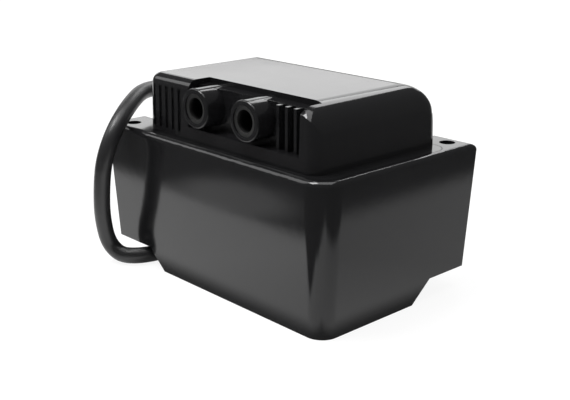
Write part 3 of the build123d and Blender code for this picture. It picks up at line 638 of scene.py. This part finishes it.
def with_nodes(piece, group, values):
    """Runs a Geometry Nodes tree on a piece and leaves its result as the piece's plain mesh."""
    modifier = piece.modifiers.new(group.name, "NODES")
    modifier.node_group = group
    for item in group.interface.items_tree:
        if item.in_out == "INPUT" and item.name in values:
            modifier[item.identifier] = values[item.name]
    mesh = plain_mesh(piece)
    name = piece.name
    bpy.data.objects.remove(piece)
    made = bpy.data.objects.new(name, mesh)
    bpy.context.scene.collection.objects.link(made)
    return made


group, given = node_group("relief_profile", ["Slot Pitch", "Slot Depth", "Slotted From"])
along = add_node(group, "GeometryNodeResampleCurve", {"Curve": given["Geometry"], "Count": 300})
position = add_node(group, "GeometryNodeSplineParameter")
radius_at = add_node(group, "ShaderNodeFloatCurve", {"Value": position.outputs["Factor"]})
profile = radius_at.mapping.curves[0]
while len(profile.points) > 2:
    profile.points.remove(profile.points[1])
profile.points[0].location = relief_radii[0]
profile.points[1].location = relief_radii[-1]
for share_and_radius in relief_radii[1:-1]:
    profile.points.new(*share_and_radius)
for point in profile.points:
    point.handle_type = "VECTOR"
radius_at.mapping.update()
# Slots round the sleeve at even steps, from outside the flange to just before the tip
steps_along = maths(group, "DIVIDE", position.outputs["Length"], given["Slot Pitch"])
from_slot = maths(group, "PINGPONG", steps_along, 0.5)
in_slot = graded(group, from_slot, slot_fade, levels=(1.0, 0.0), smooth=True)
past_flange = maths(group, "GREATER_THAN", position.outputs["Length"], given["Slotted From"])
before_tip = maths(group, "LESS_THAN", position.outputs["Factor"], tip_share)
slotted = maths(group, "MULTIPLY", past_flange, before_tip)
slot_depth = maths(group, "MULTIPLY", in_slot, given["Slot Depth"])
cut = maths(group, "MULTIPLY", slot_depth, slotted)
full_radius = maths(group, "MULTIPLY", radius_at.outputs[0], radius_unit)
ring = add_node(group, "GeometryNodeCurvePrimitiveCircle", {"Resolution": 56, "Radius": 1.0})
sleeve = add_node(
    group,
    "GeometryNodeCurveToMesh",
    {
        "Curve": along.outputs["Curve"],
        "Profile Curve": ring.outputs["Curve"],
        "Scale": maths(group, "SUBTRACT", full_radius, cut),
        "Fill Caps": True,
    },
)
rounded = add_node(group, "GeometryNodeSetShadeSmooth", {"Geometry": sleeve.outputs["Mesh"]})
end_group(group, given, rounded.outputs[0])
soft_black = moulded_plastic(
    "soft_black_vinyl",
    deep=(0.016, 0.016, 0.017),
    pale=(0.026, 0.026, 0.027),
    roughness=0.38,
    roughness_spread=0.14,
    grain_per_m=600.0,
    grain_depth=0.00005,
)
relief_sleeve = with_nodes(
    guide_line("relief_sleeve", relief_line),
    group,
    {"Slot Pitch": 0.0032, "Slot Depth": 0.0007, "Slotted From": 0.0115, "Material": soft_black},
)
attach(relief_sleeve, "root")
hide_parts("strain_relief")

# Mains lead: round three-core lead in a black vinyl sheath. From the relief it hangs down in
# front of the left lug, runs back beneath it, and lies coiled flat behind the tub, its end
# inside the coil.
sheath_radius = 0.0032
lead_points = [
    relief_exit,
    (-0.0640, -0.00712, 0.064),
    (-0.0640, -0.0148, 0.0643),
    (-0.0600, -0.0228, 0.0644),
    (-0.0540, -0.0310, 0.0629),
    (-0.0486, -0.0390, 0.0599),
    (-0.0454, -0.0454, 0.0552),
    (-0.0448, -0.0492, 0.0492),
    (-0.0462, -0.0506, 0.0426),
    (-0.0482, -0.0504, 0.0360),
    (-0.0498, -0.0500, 0.0294),
    (-0.0512, -0.0494, 0.0228),
    (-0.0524, -0.0482, 0.0164),
    (-0.0534, -0.0465, 0.0102),
    (-0.0523, -0.0450, 0.0060),
    (-0.0488, -0.0432, sheath_radius),
    (-0.0439, -0.0399, sheath_radius),
    (-0.0412, -0.0334, sheath_radius),
    (-0.0410, -0.0276, sheath_radius),
    (-0.0422, -0.0200, sheath_radius),
    (-0.0460, -0.0080, sheath_radius),
    (-0.0526, 0.0046, sheath_radius),
    (-0.0618, 0.0170, sheath_radius),
    (-0.0700, 0.0310, sheath_radius),
    (-0.0772, 0.0450, sheath_radius),
    (-0.0790, 0.0584, sheath_radius),
]
coil_centre = (-0.038, 0.068)
coil_radius = 0.041
coil_pitch = 0.0066
coil_turns = 2
steps_per_turn = 18
tie_bump = 0.0008
# The turns spiral inwards, and rise a little on their right side, where they lie on the tie
for step in range(coil_turns * steps_per_turn + 1):
    angle = math.pi - 2 * math.pi * step / steps_per_turn
    reach = coil_radius - coil_pitch * step / steps_per_turn
    over_tie = tie_bump * max(0.0, math.cos(angle)) ** 8
    lead_points.append(
        (
            coil_centre[0] + reach * math.cos(angle),
            coil_centre[1] + reach * math.sin(angle),
            sheath_radius + over_tie,
        )
    )
lead_points += [
    (-0.065, 0.0754, sheath_radius),
    (-0.0608, 0.0822, sheath_radius),
    (-0.0536, 0.0866, sheath_radius),
    (-0.0456, 0.0872, sheath_radius),
    (-0.0386, 0.0846, sheath_radius),
]
mains_lead = guide_line("mains_lead", lead_points)
mains_lead.data.bevel_depth = sheath_radius
mains_lead.data.bevel_resolution = 8
mains_lead.data.use_fill_caps = True
mains_lead.data.materials.append(
    moulded_plastic(
        "lead_sheath",
        deep=(0.018, 0.018, 0.019),
        pale=(0.028, 0.028, 0.029),
        roughness=0.33,
        roughness_spread=0.14,
        grain_per_m=420.0,
        grain_depth=0.00005,
    )
)
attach(mains_lead, "root")
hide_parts("mains_cable", "cable_coil", "cable_tail")

# Tie: a ridged strap moulded in black nylon, pulled tight round the coil's two turns on its
# right side. The lead rests on its lower run.
tie_centre = (-0.0036, 0.068, 0.0040)
half_run = 0.0033
band_reach = 0.0036
band_corner = 0.00018
lowest_ridge = 0.0008
steps_per_end = 16
band_points = []
for end, first_angle in ((1, 90), (-1, 270)):
    for step in range(steps_per_end + 1):
        angle = math.radians(first_angle - 180 * step / steps_per_end)
        band_points.append(
            (
                tie_centre[0] + end * half_run + band_reach * math.cos(angle),
                tie_centre[1],
                tie_centre[2] + band_reach * math.sin(angle),
            )
        )
group, given = node_group("ridged_band", ["Width", "Thickness", "Ridge Spacing", "Ridge Radius"])
section = add_node(
    group,
    "GeometryNodeCurvePrimitiveQuadrilateral",
    {"Width": given["Width"], "Height": given["Thickness"]},
)
soft_section = add_node(
    group,
    "GeometryNodeFilletCurve",
    {"Curve": section.outputs[0], "Count": 3, "Radius": band_corner},
    mode="POLY",
)
strap = add_node(
    group,
    "GeometryNodeCurveToMesh",
    {"Curve": given["Geometry"], "Profile Curve": soft_section.outputs[0]},
)
# The ridges stand on the band's outer face: out from the middle line by half its thickness
spots = add_node(
    group,
    "GeometryNodeCurveToPoints",
    {"Curve": given["Geometry"], "Length": given["Ridge Spacing"]},
    mode="LENGTH",
)
inward = add_node(
    group, "ShaderNodeVectorMath", {0: spots.outputs["Tangent"], 1: (0, 1, 0)}, operation="CROSS_PRODUCT"
)
half_out = maths(group, "MULTIPLY", given["Thickness"], -0.5)
lift = add_node(
    group, "ShaderNodeVectorMath", {0: inward.outputs[0], "Scale": half_out}, operation="SCALE"
)
outward = add_node(
    group,
    "GeometryNodeSetPosition",
    {"Geometry": spots.outputs["Points"], "Offset": lift.outputs[0]},
)
# A ridge is a thin bar across the band, and there is none where the band touches the table
bar = add_node(
    group,
    "GeometryNodeMeshCylinder",
    {"Vertices": 8, "Radius": given["Ridge Radius"], "Depth": maths(group, "MULTIPLY", given["Width"], 0.7)},
)
bar_turned = add_node(
    group,
    "GeometryNodeTransform",
    {"Geometry": bar.outputs["Mesh"], "Rotation": (math.pi / 2, 0, 0)},
)
ridge_place = add_node(group, "GeometryNodeInputPosition")
ridge_height = add_node(group, "ShaderNodeSeparateXYZ", {0: ridge_place.outputs[0]})
ridges = add_node(
    group,
    "GeometryNodeInstanceOnPoints",
    {
        "Points": outward.outputs[0],
        "Selection": maths(group, "GREATER_THAN", ridge_height.outputs["Z"], lowest_ridge),
        "Instance": bar_turned.outputs[0],
    },
)
together = add_node(group, "GeometryNodeJoinGeometry", {0: strap.outputs["Mesh"]})
group.links.new(ridges.outputs[0], together.inputs[0])
end_group(group, given, together.outputs[0])
nylon = moulded_plastic(
    "tie_nylon",
    deep=(0.020, 0.020, 0.021),
    pale=(0.032, 0.032, 0.033),
    roughness=0.30,
    roughness_spread=0.12,
    grain_per_m=700.0,
    grain_depth=0.00003,
)
tie = with_nodes(
    guide_line("coil_strap", band_points, kind="POLY", closed=True),
    group,
    {
        "Width": 0.004,
        "Thickness": 0.0008,
        "Ridge Spacing": 0.0009,
        "Ridge Radius": 0.00016,
        "Material": nylon,
    },
)
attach(tie, "root")
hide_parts("coil_tie")

# Stripped end: the three cores come out of the sheath and fan out inside the coil, in soft
# brown and blue insulation, and the earth in green with yellow stripes.
core_radius = 0.00115
core_routes = {
    "brown": [
        (-0.03817, 0.08577, 0.0021),
        (-0.0308, 0.0830, 0.0015),
        (-0.0234, 0.0762, 0.0015),
        (-0.0216, 0.0666, 0.0015),
        (-0.0236, 0.0582, 0.0015),
    ],
    "blue": [
        (-0.03903, 0.08343, 0.0021),
        (-0.0330, 0.0809, 0.0015),
        (-0.0296, 0.0739, 0.0015),
        (-0.0294, 0.0654, 0.0015),
        (-0.0322, 0.0578, 0.0015),
    ],
    "earth": [
        (-0.0386, 0.0846, 0.0043),
        (-0.0319, 0.0819, 0.0037),
        (-0.0268, 0.0746, 0.0020),
        (-0.0254, 0.0656, 0.0015),
        (-0.0276, 0.0572, 0.0015),
    ],
}
striped_insulation, tree = empty_material("earth_insulation")
stripe_wave = add_node(tree, "ShaderNodeAttribute", attribute_name="stripe").outputs["Fac"]
on_stripe = graded(tree, stripe_wave, across=(-0.06, 0.06))
place = add_node(tree, "ShaderNodeTexCoord").outputs["Object"]
speckle = noise(tree, place, scale=900.0)
green = two_tone(tree, speckle, (0.015, 0.17, 0.03), (0.03, 0.24, 0.05))
surface(
    tree,
    {
        "Base Color": two_tone(tree, on_stripe, green, (0.72, 0.56, 0.02)),
        "Roughness": graded(tree, speckle, levels=(0.3, 0.45)),
    },
)
# The stripes are two waves round the core, kept as an attribute for the material
stripes_round = 2
group, given = node_group("core_tube", ["Radius"])
fine = add_node(group, "GeometryNodeResampleCurve", {"Curve": given["Geometry"], "Count": 90})
ring = add_node(
    group, "GeometryNodeCurvePrimitiveCircle", {"Resolution": 24, "Radius": given["Radius"]}
)
turn = add_node(group, "GeometryNodeSplineParameter")
turn_angle = maths(group, "MULTIPLY", turn.outputs["Factor"], stripes_round * 2 * math.pi)
marked = add_node(
    group,
    "GeometryNodeStoreNamedAttribute",
    {
        "Geometry": ring.outputs["Curve"],
        "Name": "stripe",
        "Value": maths(group, "COSINE", turn_angle),
    },
    data_type="FLOAT",
    domain="POINT",
)
tube = add_node(
    group,
    "GeometryNodeCurveToMesh",
    {"Curve": fine.outputs[0], "Profile Curve": marked.outputs[0], "Fill Caps": True},
)
rounded = add_node(group, "GeometryNodeSetShadeSmooth", {"Geometry": tube.outputs["Mesh"]})
end_group(group, given, rounded.outputs[0])
core_finish = {"brown": brown_insulation, "blue": blue_insulation, "earth": striped_insulation}
for name, route in core_routes.items():
    core = with_nodes(
        guide_line(f"lead_core_{name}", route),
        group,
        {"Radius": core_radius, "Material": core_finish[name]},
    )
    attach(core, "root")
    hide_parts(f"core_{name}")


# Ferrules: on each core a tinned copper tube, crimped on the bare strands in four places and
# flared into a grey moulded collar that goes over the insulation's end.
def turned(name, profile, start, toward, materials):
    """A turned piece: rings of (distance, radius, material) along a line, closed at its ends."""
    axis = (Vector(toward) - Vector(start)).normalized()
    side = axis.orthogonal().normalized()
    other = axis.cross(side)
    segments = 28
    crease = math.radians(40)
    form = bmesh.new()
    rings = []
    for distance, radius, _ in profile:
        ring = []
        for i in range(segments):
            angle = 2 * math.pi * i / segments
            offset = side * math.cos(angle) * radius + other * math.sin(angle) * radius
            ring.append(form.verts.new(Vector(start) + axis * distance + offset))
        rings.append(ring)
    for i, (near, far) in enumerate(zip(rings, rings[1:])):
        for k in range(segments):
            face = form.faces.new((near[k], near[(k + 1) % segments], far[(k + 1) % segments], far[k]))
            face.material_index = profile[i + 1][2]
            face.smooth = True
    form.faces.new(list(reversed(rings[0]))).material_index = profile[0][2]
    form.faces.new(rings[-1]).material_index = profile[-1][2]
    bmesh.ops.recalc_face_normals(form, faces=form.faces)
    for edge in form.edges:
        edge.smooth = edge.calc_face_angle(0.0) < crease
    mesh = bpy.data.meshes.new(name)
    form.to_mesh(mesh)
    form.free()
    for material in materials:
        mesh.materials.append(material)
    piece = bpy.data.objects.new(name, mesh)
    bpy.context.scene.collection.objects.link(piece)
    return piece


collar_plastic = moulded_plastic(
    "ferrule_collar",
    deep=(0.20, 0.20, 0.21),
    pale=(0.28, 0.28, 0.29),
    roughness=0.32,
    roughness_spread=0.12,
    grain_per_m=700.0,
    grain_depth=0.00003,
)
tinned_copper = bare_metal(
    "tinned_copper", (0.78, 0.77, 0.74), roughness=(0.18, 0.38), scratch_per_m=1400.0
)
collar = 0
tinned = 1
tube_radius = 0.0007
crimped_radius = 0.00056
crimps = 4
crimp_pitch = 0.0010
first_crimp = 0.0036
ferrule_profile = [
    (0.0, 0.00138, collar),
    (0.0001, 0.0015, collar),
    (0.0020, 0.0015, collar),
    (0.0028, 0.00110, collar),
    (0.0030, 0.00075, collar),
    (0.0032, tube_radius, tinned),
]
for crimp in range(crimps):
    foot = first_crimp + crimp * crimp_pitch
    ferrule_profile += [
        (foot, tube_radius, tinned),
        (foot + 0.00022, crimped_radius, tinned),
        (foot + 0.00050, crimped_radius, tinned),
        (foot + 0.00072, tube_radius, tinned),
    ]
ferrule_profile += [(0.0079, tube_radius, tinned), (0.0080, 0.0006, tinned)]
for name, route in core_routes.items():
    end = Vector(route[-1])
    ahead = end + (end - Vector(route[-2]))
    ferrule = turned(f"crimped_ferrule_{name}", ferrule_profile, end, ahead, [collar_plastic, tinned_copper])
    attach(ferrule, "root")
    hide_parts(f"ferrule_{name}")
